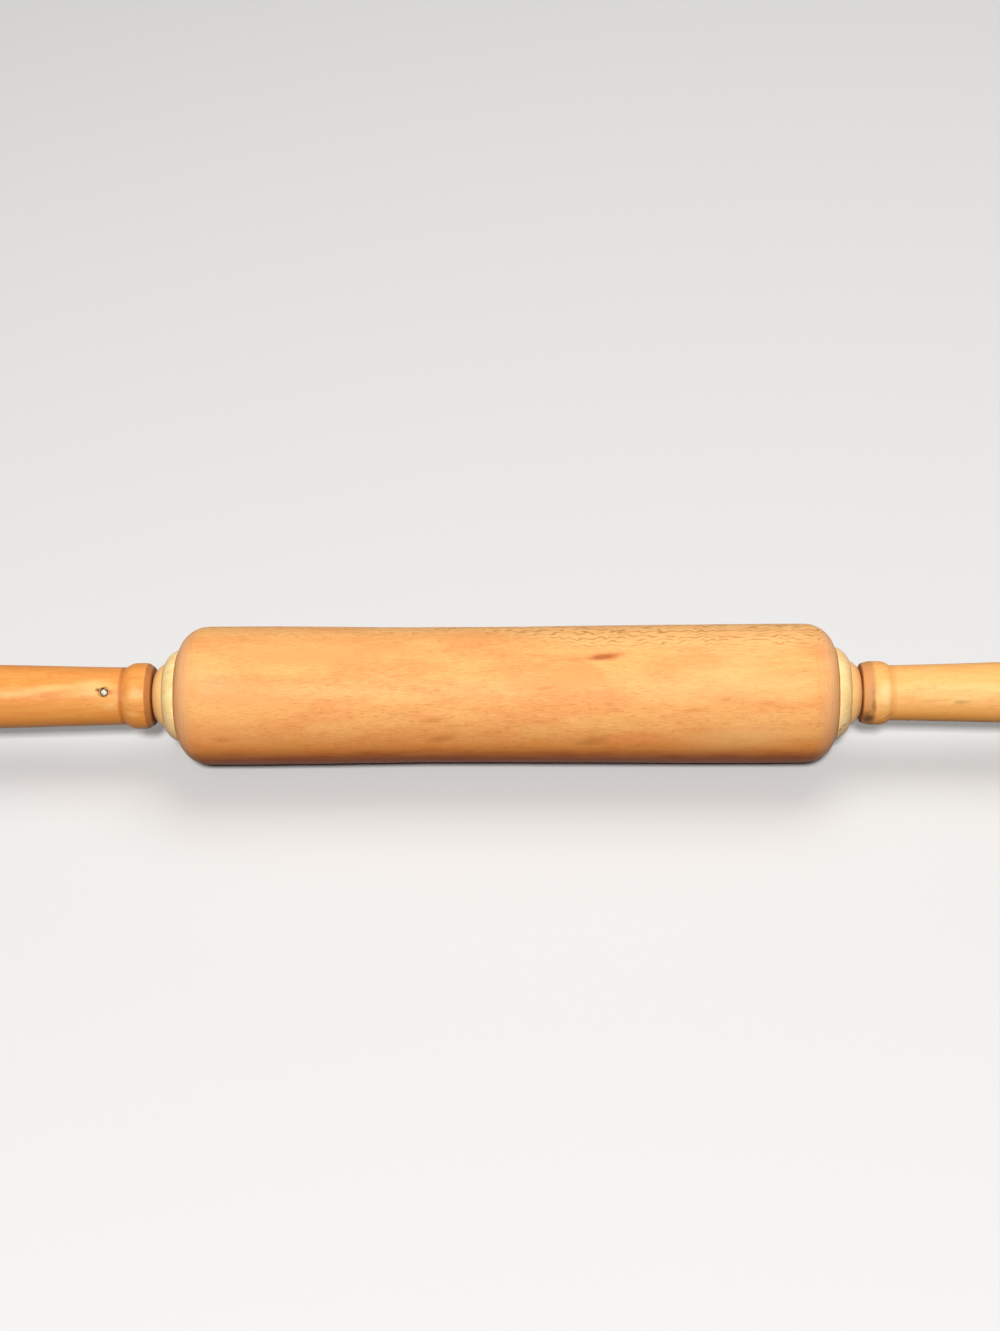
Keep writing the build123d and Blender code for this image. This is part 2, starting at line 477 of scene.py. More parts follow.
def close_grain(s, look, clouds, seed):
    """Pale, close wood: clouds of two colours, a finer mottle, hair-fine streaks and short dashes.

    It returns the colour, the streaks and the dashes. The clouds' three lengths are in millimetres.
    """
    slow = s.noise(clouds, detail=2.0, roughness=0.5, distortion=0.3, where=(seed, 4, 9))
    mottle = s.noise((10, 2.6, 2.6), detail=4.0, roughness=0.6, distortion=0.2, where=(3, seed, 2))
    streaks = s.noise((3.4, 0.42, 0.42), roughness=0.65, where=(0, 5, seed))
    dashes = flecks(s, length=2.6, thickness=0.5, share=0.16, seed=seed)
    colour = s.coats(
        s.mix(s.fade(slow, 0.36, 0.64), look.honey, look.rose),
        (look.grain, s.fade(mottle, 0.5, 0.8), 0.22),
        (look.pale, s.fade(mottle, 0.5, 0.22), 0.36),
        (look.grain, s.fade(streaks, 0.48, 0.78), 0.46),
        (look.pale, s.fade(streaks, 0.5, 0.25), 0.5),
        (look.grain, dashes, 0.36),
    )
    return colour, streaks, dashes


def grain_relief(s, streaks, lines, dashes, ridge, groove):
    """Height of the wood's skin: streaks stand up by ridge, growth rings sink by groove, and dashes sink."""
    level, dash_depth = 0.6, 0.3
    height = s.scaled(streaks, ridge, s.scaled(lines, -groove, level))
    return s.scaled(dashes, -dash_depth, height)


# Sizes and colours that a user would change


def metres(label, about, value):
    """A length property."""
    return bpy.props.FloatProperty(name=label, description=about, default=value, unit="LENGTH", precision=5)


def number(label, about, value, unit="NONE"):
    """A number property, in the unit given."""
    return bpy.props.FloatProperty(name=label, description=about, default=value, unit=unit)


def degrees(label, about, value):
    """An angle property, given in degrees."""
    value = math.radians(value)
    return bpy.props.FloatProperty(name=label, description=about, default=value, subtype="ANGLE")


def linear(label, about, value):
    """A colour property, given in linear values."""
    return bpy.props.FloatVectorProperty(
        name=label, description=about, default=value, size=3, min=0, max=1, subtype="COLOR"
    )


def screen(label, about, *value):
    """A colour property, given in the 0 to 255 values of a screen."""
    return linear(label, about, tone(*value))


class BarrelSettings(bpy.types.PropertyGroup):
    length: metres("Length", "From end face to end face", barrel_high.x - barrel_low.x)
    diameter: metres("Diameter", "Across the straight seats near the ends", barrel_high.z - barrel_low.z)
    rounding: metres("End Rounding", "Radius of the rounded ends", 11.6 * MM)
    seat: metres("Seat Length", "Straight stretch beside each rounded end", 16 * MM)
    waist_depth: metres("Waist Depth", "How far use has hollowed the middle, on the radius", 0.66 * MM)
    waist_place: metres("Waist Place", "Where the hollow is deepest, from the middle", -25 * MM)
    pocket_radius: metres("Pocket Radius", "Radius of the pocket for a collar's spigot", 12.03 * MM)
    pocket_depth: metres("Pocket Depth", "Depth of the pocket for a collar's spigot", 19.6 * MM)
    bore_radius: metres("Bore Radius", "Radius of the hole that clears the spindle", 7.35 * MM)
    honey: screen("Honey", "The yellower clouds of the wood", 249, 181, 107)
    rose: screen("Rose", "The redder clouds of the wood", 244, 165, 96)
    pale: screen("Pale", "The lightest fibres", 255, 198, 126)
    grain: screen("Grain", "The growth rings and flecks", 182, 106, 44)
    # Pinker wood at the ends, made paler as painted light on the rounded ends that turn away from the lamps.
    pink_end_and_painted_light: screen("Worn End", "The paler, pinker wood beside the end faces", 255, 192, 138)
    # Besides a faint tint in the ring layers, this deeper orange is painted shade low on the front.
    deep_and_shade: screen("Deep", "The deeper orange wood low on the front", 234, 136, 56)
    # This brown is painted shade where the barrel's underside nears the table.
    under: screen("Under", "The brown wood that lies on the table", 152, 66, 16)
    # Laid over the lowest front, these olive patches are real stains that also paint shade there.
    stain: screen("Stain", "The olive brown patches low on the front", 192, 116, 46)
    red_knot: screen("Red Knot", "The outer part of the knot near the top", 214, 122, 62)
    dark_knot: screen("Dark Knot", "The core of the knot near the top", 166, 86, 42)


class CollarSettings(bpy.types.PropertyGroup):
    spigot_radius: metres("Spigot Radius", "Radius of the stub in the barrel's pocket", 12 * MM)
    spigot_length: metres("Spigot Length", "Length of the stub in the barrel's pocket", 19 * MM)
    spigot_chamfer: metres("Spigot Chamfer", "Chamfer at the stub's inner end", 0.8 * MM)
    flange_radius: metres("Flange Radius", "Radius beside the barrel", collar_high.z - AXIS_HEIGHT)
    flange_height: metres("Flange Height", "From the barrel's face to the notch", 5.35 * MM)
    notch_radius: metres("Notch Radius", "Radius at the bottom of the fine notch", 12.75 * MM)
    notch_width: metres("Notch Width", "Width of the notch's outer side, on the radius", 0.35 * MM)
    notch_depth: metres("Notch Depth", "Depth of the notch along the pin", 0.4 * MM)
    curve_radius: metres("Curve Radius", "Radius of the flange's and the dome's curves", 7.4 * MM)
    face_radius: metres("Face Radius", "Radius of the dome's flat face", 8.5 * MM)
    bore_radius: metres("Bore Radius", "Radius of the hole that the spindle turns in", 6.45 * MM)
    mouth_chamfer: metres("Mouth Chamfer", "Chamfer at the hole's mouth", 0.6 * MM)
    honey: screen("Honey", "The pale yellow wood", 255, 231, 162)
    rose: screen("Rose", "The darker streaks of the wood", 255, 212, 140)
    pale: screen("Pale", "The lightest fibres", 255, 243, 188)
    grain: screen("Grain", "The lines and flecks of the wood", 216, 148, 78)
    # Besides the dome's own colour, this orange is laid towards the bottom as painted shade.
    amber: screen("Amber", "The more orange wood of the dome", 250, 184, 112)
    # Besides the small marks and the line in the notch, this colour paints the contact shadow where the
    # flange meets the barrel.
    dirt_and_shade: screen("Dirt", "The dirt in the notch, beside the barrel and in small marks", 150, 86, 36)


class SharedHandleSettings:
    """Sizes that both handles share."""

    start: metres("Start", "Place of the handle's face, from the middle of the pin", handle_low.x)
    end: metres("End", "Place of the nose's tip, from the middle of the pin", handle_high.x)
    end_wall: metres("End Wall", "Wood between the hole's bottom and the nose's tip", 31.5 * MM)
    bore_radius: metres("Bore Radius", "Radius of the hole for the spindle", 6.38 * MM)
    bead_rise: metres("Bead Rise", "Length over which the bead reaches its crest", 1.5 * MM)
    bead_fall: metres("Bead Fall", "Length over which the bead falls to the neck", 4.1 * MM)
    bead_crown: metres("Bead Crown", "How far the crest stands above the shoulder", 0.2 * MM)
    nose: metres("Nose", "Length of the domed nose", 15.5 * MM)


class LeftHandleSettings(SharedHandleSettings, bpy.types.PropertyGroup):
    face_radius: metres("Face Radius", "Radius of the face beside the collar", 11.3 * MM)
    shoulder: metres("Shoulder", "Length of the chamfer from the face to the bead", 2.0 * MM)
    bead_length: metres("Bead Length", "From the face to the neck", 10.6 * MM)
    bead_radius: metres("Bead Radius", "Radius of the bead's crest", 12.9 * MM)
    neck_radius: metres("Neck Radius", "Radius of the valley behind the bead", 11.25 * MM)
    swell_radius: metres("Swell Radius", "Radius of the grip before the nose", 12.6 * MM)
    grip_slope: number("Grip Slope", "Rise over run where the grip leaves the neck", 0.0155)
    honey: screen("Honey", "The lighter clouds of the wood", 242, 168, 88)
    rose: screen("Rose", "The redder clouds of the wood", 234, 152, 74)
    pale: screen("Pale", "The lightest fibres", 252, 192, 118)
    grain: screen("Grain", "The growth rings and flecks", 182, 102, 42)
    # Low on the front this deeper orange is painted shade.
    deep_and_shade: screen("Deep", "The deeper orange wood along the top and low on the front", 238, 146, 54)
    # This brown is end grain darkened as painted shade, since the chamfer faces away from the lamps.
    chamfer_tone_and_shade: screen("Worn Face", "The brown chamfer beside the collar", 176, 108, 56)
    # This band is painted shade in the crease at the bead's foot.
    valley: screen("Valley", "The narrow band at the bead's foot", 190, 104, 40)
    # This colour is painted shade: on the rim of the nail's pit, in the chip beside it and in the gap by the
    # collar.
    pit: screen("Pit", "The dirt round the nail and beside the collar", 70, 42, 22)
    rust: screen("Rust", "The reddish tint beside the nail", 184, 92, 50)


class RightHandleSettings(SharedHandleSettings, bpy.types.PropertyGroup):
    face_radius: metres("Face Radius", "Radius of the face beside the collar", 11.5 * MM)
    shoulder: metres("Shoulder", "Length of the chamfer from the face to the bead", 2.4 * MM)
    bead_length: metres("Bead Length", "From the face to the neck", 11.1 * MM)
    bead_radius: metres("Bead Radius", "Radius of the bead's crest", 12.35 * MM)
    neck_radius: metres("Neck Radius", "Radius of the valley behind the bead", 10.75 * MM)
    swell_radius: metres("Swell Radius", "Radius of the grip before the nose", 12.1 * MM)
    grip_slope: number("Grip Slope", "Rise over run where the grip leaves the neck", 0.008)
    honey: screen("Honey", "The lighter clouds of the wood", 255, 198, 122)
    rose: screen("Rose", "The redder clouds of the wood", 252, 186, 110)
    pale: screen("Pale", "The lightest fibres", 255, 212, 144)
    grain: screen("Grain", "The growth rings and flecks", 214, 142, 74)
    # Low on the front this deeper orange is painted shade.
    deep_and_shade: screen("Deep", "The deeper orange wood along the top and low on the front", 252, 166, 72)
    # This pinkish tan is the shoulder's own tone darkened as painted shade, since it faces away from the
    # lamps.
    chamfer_tone_and_shade: screen("Worn Face", "The pinkish shoulder beside the collar", 204, 138, 82)
    # This band is painted shade in the crease at the bead's foot.
    valley: screen("Valley", "The soft band at the bead's foot", 232, 152, 74)
    # This colour paints shade on the rim of the nail's pit and in the gap by the collar, and a dark patch
    # low on the bead.
    pit: screen("Pit", "The dirt round the nail and beside the collar", 84, 50, 24)
    stain: screen("Stain", "The olive stains on the bead and the grip", 138, 90, 36)
    scratch: screen("Scratch", "The light scratch across the bead", 255, 224, 168)


class NailSettings(bpy.types.PropertyGroup):
    place: metres("Place", "Distance of both nails from the middle of the pin", 154.9 * MM)
    head_radius: metres("Head Radius", "Radius of the flat head", 1.6 * MM)
    head_thickness: metres("Head Thickness", "Thickness of the head at its rim", 0.6 * MM)
    head_crown: metres("Head Crown", "How far the head's middle stands above its rim", 0.22 * MM)
    shank_radius: metres("Shank Radius", "Radius of the shank", 0.9 * MM)
    shank_length: metres("Shank Length", "From under the head to the tip", 18 * MM)
    point_length: metres("Point Length", "Length of the tapered tip", 1.6 * MM)
    pit_radius: metres("Pit Radius", "Radius of the pit that the driven nail left", 2.05 * MM)
    pit_depth: metres("Pit Depth", "Depth of the pit below the neck's surface", 1.15 * MM)
    left_lean: degrees("Left Lean", "Turn of the left nail from upright towards the front", 41)
    right_lean: degrees("Right Lean", "Turn of the right nail from upright, past the front and below", 221)
    # The lighter middle of the head is rubbed steel with a painted highlight.
    steel: linear("Steel", "The rubbed middle of the head", (0.5, 0.46, 0.36))
    tarnish: linear("Tarnish", "The dull rim of the head", (0.13, 0.11, 0.075))


class StageSettings(bpy.types.PropertyGroup):
    floor: linear("Floor", "The pale floor as it is seen and mirrored", (0.74, 0.732, 0.72))
    bounce: linear("Bounce", "The floor as it lights the wood from below", (0.05, 0.045, 0.04))
    key_power: number("Key Power", "Watts of the main lamp, in front and above", 88, "POWER")
    fill_power: number("Fill Power", "Watts of the wide lamp above and behind", 19.5, "POWER")
    surround: number("Surround", "Strength of the pale surroundings", 0.1)
    lens: number("Lens", "Focal length of the camera in millimetres, on a 36 mm sensor", 54.1, "CAMERA")


class PinSettings(bpy.types.PropertyGroup):
    barrel: bpy.props.PointerProperty(type=BarrelSettings, name="Barrel")
    collar: bpy.props.PointerProperty(type=CollarSettings, name="End Collars")
    left_handle: bpy.props.PointerProperty(type=LeftHandleSettings, name="Left Handle")
    right_handle: bpy.props.PointerProperty(type=RightHandleSettings, name="Right Handle")
    nail: bpy.props.PointerProperty(type=NailSettings, name="Nails")
    stage: bpy.props.PointerProperty(type=StageSettings, name="Stage")


def settings():
    """The scene's values of all the groups of settings."""
    return bpy.context.scene.rolling_pin


# Barrel


def barrel_outline(size):
    """Round the barrel's section: rounded end, seat, worn waist, seat, rounded end, then the bore."""
    end, radius = size.length / 2, size.diameter / 2
    straight = end - size.rounding
    seat_end = straight - size.seat
    waist = (size.waist_place, radius - size.waist_depth)
    pocket_end = end - size.pocket_depth
    rounding = quarter((straight, radius - size.rounding), size.rounding, size.rounding)
    return [
        rounding[::-1] * (-1, 1),
        corners((-straight, radius), (-seat_end, radius)),
        ease((-seat_end, radius), waist),
        ease(waist, (seat_end, radius)),
        corners((seat_end, radius), (straight, radius)),
        rounding,
        corners(
            (end, size.pocket_radius),
            (pocket_end, size.pocket_radius),
            (pocket_end, size.bore_radius),
            (-pocket_end, size.bore_radius),
            (-pocket_end, size.pocket_radius),
            (-end, size.pocket_radius),
        ),
    ]


def ring_figure(s):
    """The growth rings and where they show: strongly on top to the right and over the back, else faintly.

    The layers face up and back. The turned wood shows them where it faces nearly the same way: the mask
    rises with how far the place lies in that direction or against it, past a limit that noise moves and
    that is greater to the left. It returns the lines, the layers' tint and the mask.
    """
    facing = rising(math.radians(56))
    rings, tint = growth_rings(s, facing, width=1.12, curl=1.1, seed=21)
    limit = s.math("ADD", s.fade(s.along, 38, -6, top=5.3), s.fade(s.along, -45, -70, top=1.2))
    edge = s.scaled(s.noise((12, 6, 6), detail=2.0, where=(9, 9, 9)), 3.4, 18.4)
    reach = s.math("ABSOLUTE", s.toward(facing))
    mask = s.fade(s.math("SUBTRACT", reach, s.math("ADD", limit, edge)), -2.6, 1.8)
    faint = 0.12
    return s.times(rings, s.scaled(mask, 1 - faint, faint)), tint, mask


def barrel_marks(s, look):
    """Coats for the clouds, knot, streaks and stains that use and growth left in one place each, with a
    painted highlight on the left end and painted shade on top of the right end.
    """
    return (
        (look.rose, s.mark(20, 50, 26.5, (30, 6, 6), 6, CLOUD), 0.75),
        (look.red_knot, s.mark(42, 44, 26.5, (7, 2.2, 3), 4, CLOUD), 0.16),
        (look.rose, s.mark(-76, 76, 26.5, (44, 7, 7), 2, CLOUD), 0.8),
        (look.rose, s.mark(-95, 40, 26.5, (26, 11, 9), 3, CLOUD), 0.5),
        (look.pale, s.mark(88, 58, 26.5, (38, 14, 9), 3, CLOUD), 0.4),
        (look.pale, s.mark(90, 2, 26.5, (34, 10, 9), 3, CLOUD), 0.45),
        # A pale pink patch high on the left end: pinker wood with a painted highlight.
        (look.pink_end_and_painted_light, s.mark(-113, 54, 26, (17, 9, 9), 0, CLOUD), 0.2),
        (look.rose, s.mark(-111, 12, 26.5, (17, 8, 8), 2, CLOUD), 0.55),
        # A darker patch on top of the right end, in the knot's colour: painted shade.
        (look.red_knot, s.mark(117, 82, 25, (9, 7, 8), 0, CLOUD), 0.3),
        (look.stain, s.mark(-108, 3, 26.5, (5, 2.3, 3), 3, CLOUD), 0.42),
        (look.stain, s.mark(-24.7, 1, 26.4, (8, 2.6, 3), 3, CLOUD), 0.5),
        (look.stain, s.mark(-29, 19, 26.4, (6, 1.8, 3), 5, CLOUD), 0.32),
        (look.stain, s.mark(33, -1, 26.5, (9, 3.2, 3), 4, CLOUD), 0.5),
        (look.red_knot, s.mark(15.2, 46, 26.4, (5.6, 0.8, 2), 9, CLOUD), 0.5),
        (look.red_knot, s.mark(5.5, 45, 26.4, (4.6, 0.6, 2), 6, CLOUD), 0.28),
        (look.red_knot, s.mark(72.1, 28, 26.6, (7.5, 1.1, 2), 6, CLOUD), 0.42),
        (look.red_knot, s.mark(38.6, 73.4, 26.5, (9.6, 2.6, 3), 7, KNOT), 0.7),
        (look.dark_knot, s.mark(37.2, 72.8, 26.5, (7.4, 1.6, 3), 7, KNOT_CORE), 0.7),
        (look.red_knot, s.mark(28, 71, 26.5, (8, 1.2, 3), 7, CLOUD), 0.4),
    )


def barrel_wood(look):
    """Close, pale hardwood, deeper in colour low on the front as painted shade, with a painted sheen on its
    top rim and painted light on its pinker ends, finished dry.
    """
    s = Shader("barrel_wood")
    wood, streaks, dashes = close_grain(s, look, clouds=(34, 9, 9), seed=11)
    lines, tint, figure = ring_figure(s)
    # A ragged height and a front mask: the two coats that use them paint shade on the lower front, deeper
    # orange and then brown towards the table.
    patches = s.noise((13, 4, 4), detail=4.0, roughness=0.65, where=(40, 0, 3))
    level = s.scaled(patches, 9, s.up)
    front = s.fade(s.back, 2, -10)
    low = s.times(s.fade(s.up, 8, -4), front)
    out = s.math("ABSOLUTE", s.along)
    tool_marks = s.fade(s.noise((0.4, 14, 14), roughness=0.6, where=(1, 7, 3)), 0.5, 0.72)
    colour = s.coats(
        wood,
        (look.deep_and_shade, s.times(s.fade(tint, 0.3, 1), figure), 0.1056),
        # Pale where the rings show, which in view is the top rim: paler wood with a painted sheen.
        (look.pale, figure, 0.66),
        (look.grain, lines, 0.66),
        (look.deep_and_shade, s.times(s.fade(level, 13, -3), front), 0.75),
        (look.under, s.times(s.fade(level, 2, -9), front), 0.85),
        *barrel_marks(s, look),
        # Olive patches only on the lowest front: stains that also paint shade on the bottom.
        (look.stain, s.times(s.fade(patches, 0.5, 0.74), low), 0.4),
        # Pinker wood at both ends, lightened as painted light where the rounded ends face away from the
        # lamps.
        (look.pink_end_and_painted_light, s.fade(s.scaled(streaks, 5, out), 119, 128), 0.65),
        (look.grain, s.times(tool_marks, s.fade(out, 113, 122)), 0.25),
    )
    roughness = s.scaled(s.noise((30, 9, 9), where=(2, 2, 2)), 0.2, 0.42)
    height = grain_relief(s, streaks, lines, dashes, ridge=0.35, groove=0.4)
    return s.finish(colour, roughness, height, depth=0.05, Specular_IOR_Level=0.16)


def make_barrel():
    """The barrel's piece and its finished wood."""
    size = settings().barrel
    outline = turned_line(barrel_outline(size), closed=True, coarse=1.5 * MM, softening=0.12 * MM)
    angles = full_turn(step=1.35)
    grid = turned_grid(outline, angles)
    grid = wear(grid, angles, seed=7, dents=46, depth=0.16 * MM, skin_radius=15 * MM)
    surface("turned_barrel", grid, "roller", "barrel", barrel_wood(size), closed=True)


# End collars


def collar_outline(size, barrel_end):
    """Round the right collar's section: flange, fine notch, dome, flat face, then back along the bore."""
    inner_end = barrel_end - size.spigot_length
    notch_place = barrel_end + size.flange_height
    flange_end = (notch_place, size.notch_radius + size.notch_width)
    face = collar_high.x
    return [
        corners(
            (face - size.mouth_chamfer, size.bore_radius),
            (inner_end, size.bore_radius),
            (inner_end, size.spigot_radius - size.spigot_chamfer),
            (inner_end + size.spigot_chamfer, size.spigot_radius),
            (barrel_end, size.spigot_radius),
        ),
        arc((barrel_end, size.flange_radius), flange_end, size.curve_radius),
        corners((notch_place - size.notch_depth, size.notch_radius)),
        arc((notch_place, size.notch_radius), (face, size.face_radius), size.curve_radius),
        corners((face, size.bore_radius + size.mouth_chamfer)),
    ]


def collar_wood(name, look, seed):
    """Paler, yellower wood than the barrel's, more orange on the dome and, as painted shade, towards the
    bottom, with a painted contact shadow beside the barrel, a dark line in the notch and small dark marks.
    """
    s = Shader(name + "_wood")
    wood, streaks, dashes = close_grain(s, look, clouds=(14, 5, 5), seed=seed)
    out = s.math("ABSOLUTE", s.along)
    colour = s.coats(
        wood,
        (look.amber, s.fade(out, 131.7, 132.6), 0.75),
        # More orange towards the bottom: painted shade.
        (look.amber, s.fade(s.up, 2, -12), 0.65),
        (look.amber, s.fade(s.along, -1, 1), 0.14),
        # A dark line where the flange meets the barrel: painted contact shadow.
        (look.dirt_and_shade, s.band(out, 127, 0.05, 0.3), 0.12),
        (look.dirt_and_shade, s.band(out, 132.15, 0.2, 0.4), 0.17),
        (look.dirt_and_shade, s.mark(129, -6, 16.6, (2.4, 0.55, 1.5), 8, SMUDGE), 0.85),
        (look.dirt_and_shade, s.mark(127.9, -12, 17.4, (1.2, 1.6, 1.5), 0, SMUDGE), 0.4),
        (look.dirt_and_shade, s.mark(-128.1, 62, 17, (0.5, 0.35, 0.8), 0, CHIP), 0.6),
    )
    roughness = s.scaled(s.noise((12, 6, 6), where=(1, 1, seed)), 0.16, 0.3)
    height = s.scaled(dashes, -0.4, streaks)
    return s.finish(colour, roughness, height, depth=0.04, Specular_IOR_Level=0.35)


def make_collar(side, seed):
    """One collar: side is -1 on the left and 1 on the right."""
    size = settings().collar
    parts = collar_outline(size, settings().barrel.length / 2)
    outline = turned_line(parts, closed=True, coarse=0.8 * MM, softening=0.07 * MM)
    angles = full_turn(step=1.8)
    grid = turned_grid(outline, angles)
    grid = wear(grid, angles, seed, dents=14, depth=0.09 * MM, skin_radius=13.5 * MM)
    grid[..., 0] *= side
    name = "left_end_collar" if side < 0 else "right_end_collar"
    material = collar_wood(name, size, seed)
    surface("turned_" + name, grid, "roller", name, material, closed=True)


# Handles


def handle_outline(size):
    """From the hole's bottom out over the face, bead, neck, grip and nose, for a handle on the right."""
    bore_end = size.end - size.end_wall
    shoulder = (size.start + size.shoulder, size.bead_radius - size.bead_crown)
    crest_start = (shoulder[0] + size.bead_rise, size.bead_radius)
    valley = (size.start + size.bead_length, size.neck_radius)
    crest_end = (valley[0] - size.bead_fall, size.bead_radius)
    nose_start = (size.end - size.nose, size.swell_radius)
    return [
        corners(
            (bore_end, 0),
            (bore_end, size.bore_radius),
            (size.start, size.bore_radius),
            (size.start, size.face_radius),
        ),
        crest(crest_start, shoulder)[::-1],
        crest(crest_end, valley),
        ease(valley, nose_start, size.grip_slope),
        quarter((nose_start[0], 0), size.nose, size.swell_radius),
    ]


def nail_lines(lean):
    """Unit directions across and out along a nail that leans from upright towards the front."""
    out = np.array([0, -math.sin(lean), math.cos(lean)])
    return np.cross((1, 0, 0), out), out


def press_pit(grid, middle, lean, radius, floor, seed):
    """Points within a ragged round rim sink along the nail's line to a floor, with a steep wall between.

    The rim's radius is the radius given times one plus three seeded waves of the angle round the nail. Only
    the outside of the handle on the nail's own side is pressed.
    """
    rng = np.random.default_rng(seed)
    across, out = nail_lines(lean)
    beside = grid @ across
    height = grid @ out
    away = np.hypot(grid[..., 0] - middle, beside)
    turn = np.arctan2(beside, grid[..., 0] - middle)
    rim = radius * np.ones_like(away)
    for waves in (2, 3, 5):
        rim += radius * rng.uniform(0.02, 0.05) * np.cos(waves * turn + rng.uniform(0, math.tau))
    wall_foot, wall_top = rim - 0.14 * radius, rim + 0.1 * radius
    inside = 1 - smooth(away, wall_foot, wall_top)
    outside_height = 9 * MM
    sink = np.where(height > outside_height, inside * np.maximum(height - floor, 0), 0)
    return grid - sink[..., None] * out


def handle_grid(size, nail, side, seed, lean):
    """One handle's points: turned, worn, mirrored where it is on the left, with the nail's pit pressed in.

    Points stand close together round the nail and far apart in the bore.
    """

    def close_up(place, radius):
        near = smooth(np.abs(place - nail.place), 2.6 * MM, 6 * MM)
        outside = radius > size.bore_radius + MM
        return np.where(outside, 0.14 * MM + near * MM, 2 * MM)

    parts = handle_outline(size)
    outline = turned_line(parts, closed=False, coarse=1.1 * MM, softening=0.12 * MM, close_up=close_up)
    angles = full_turn(step=2.2, close_to=lean, close_step=0.75, reach=0.3)
    grid = turned_grid(outline, angles)
    grid = wear(grid, angles, seed, dents=22, depth=0.1 * MM, skin_radius=8.5 * MM)
    grid[..., 0] *= side
    return press_pit(grid, side * nail.place, lean, nail.pit_radius, size.neck_radius - nail.pit_depth, seed)


def handle_wood(s, look, seed, facing):
    """Straight-grained hardwood, oiled by hands, deeper in colour along the top, and low on the front as
    painted shade.

    Growth rings show on the two sides that lie in the direction given and against it, faintly elsewhere.
    It returns the colour and the height of the relief.
    """
    wood, streaks, dashes = close_grain(s, look, clouds=(30, 4.2, 4.2), seed=seed)
    rings, _ = growth_rings(s, facing, width=1.3, curl=0.2, seed=seed)
    sides = s.fade(s.math("ABSOLUTE", s.toward(facing)), 8.5, 11.5, top=0.3)
    lines = s.times(rings, s.math("ADD", sides, 0.08))
    colour = s.coats(
        wood,
        (look.grain, lines, 0.7),
        # Deeper orange low on the front: painted shade.
        (look.deep_and_shade, s.times(s.fade(s.up, 6, -4), s.fade(s.back, 2, -6)), 0.8),
        (look.deep_and_shade, s.fade(s.up, 8, 11.5), 0.35),
    )
    return colour, grain_relief(s, streaks, lines, dashes, ridge=0.4, groove=0.3)


def left_handle_marks(s, size):
    """Coats for the clouds, painted highlights high on the grip and bead, the brown chamfer with painted
    shade, painted shade at the bead's foot, in the gap by the collar and in the nick, and the rust beside
    the nail.
    """
    nail_place = -settings().nail.place / MM
    uneven = s.scaled(s.noise((3, 3, 3)), 0.9, s.along)
    return (
        (size.rose, s.mark(-180, 22, 11, (30, 6, 6), 2, CLOUD), 0.6),
        # Pale streaks high on the grip, where the key light falls: paler wood with painted highlights.
        (size.pale, s.mark(-176, 56, 11.3, (17, 2.4, 3), 5, CLOUD), 0.75),
        (size.pale, s.mark(-192, 44, 11.5, (16, 1.8, 3), 3, CLOUD), 0.6),
        (size.pale, s.mark(-158, 60, 11.3, (12, 5, 3), -4, CLOUD), 0.85),
        (size.pale, s.mark(-152, 22, 11.3, (4, 3, 3), 0, CLOUD), 0.6),
        # A pale patch high on the bead: painted highlight.
        (size.pale, s.mark(-143, 46, 12.8, (3.6, 4.5, 3), 0, CLOUD), 0.6),
        (size.pale, s.mark(-143.5, 8, 12.8, (4, 2.5, 3), 0, CLOUD), 0.4),
        (size.rose, s.mark(-166, 30, 11.3, (6, 2.6, 3), 10, CLOUD), 0.6),
        # Brown on the chamfer that faces the collar: end grain, darkened as painted shade.
        (size.chamfer_tone_and_shade, s.fade(uneven, -139.1, -138.4), 0.85),
        # Darker on the face beside the collar: painted shade in the gap.
        (size.pit, s.fade(s.along, -137.3, -137), 0.3),
        # A darker band at the bead's foot: painted shade in the crease.
        (size.valley, s.band(s.along, -148.5, 0.3, 1.1), 0.75),
        (size.rust, s.mark(nail_place + 2.6, 48, 11.3, (1.6, 1.5, 2), 0, SMUDGE), 0.55),
        # Dark in the chip beside the nail: painted shade.
        (size.pit, s.mark(nail_place - 2.3, 53, 11.3, (1.2, 0.8, 2), -12, NICK), 0.8),
    )


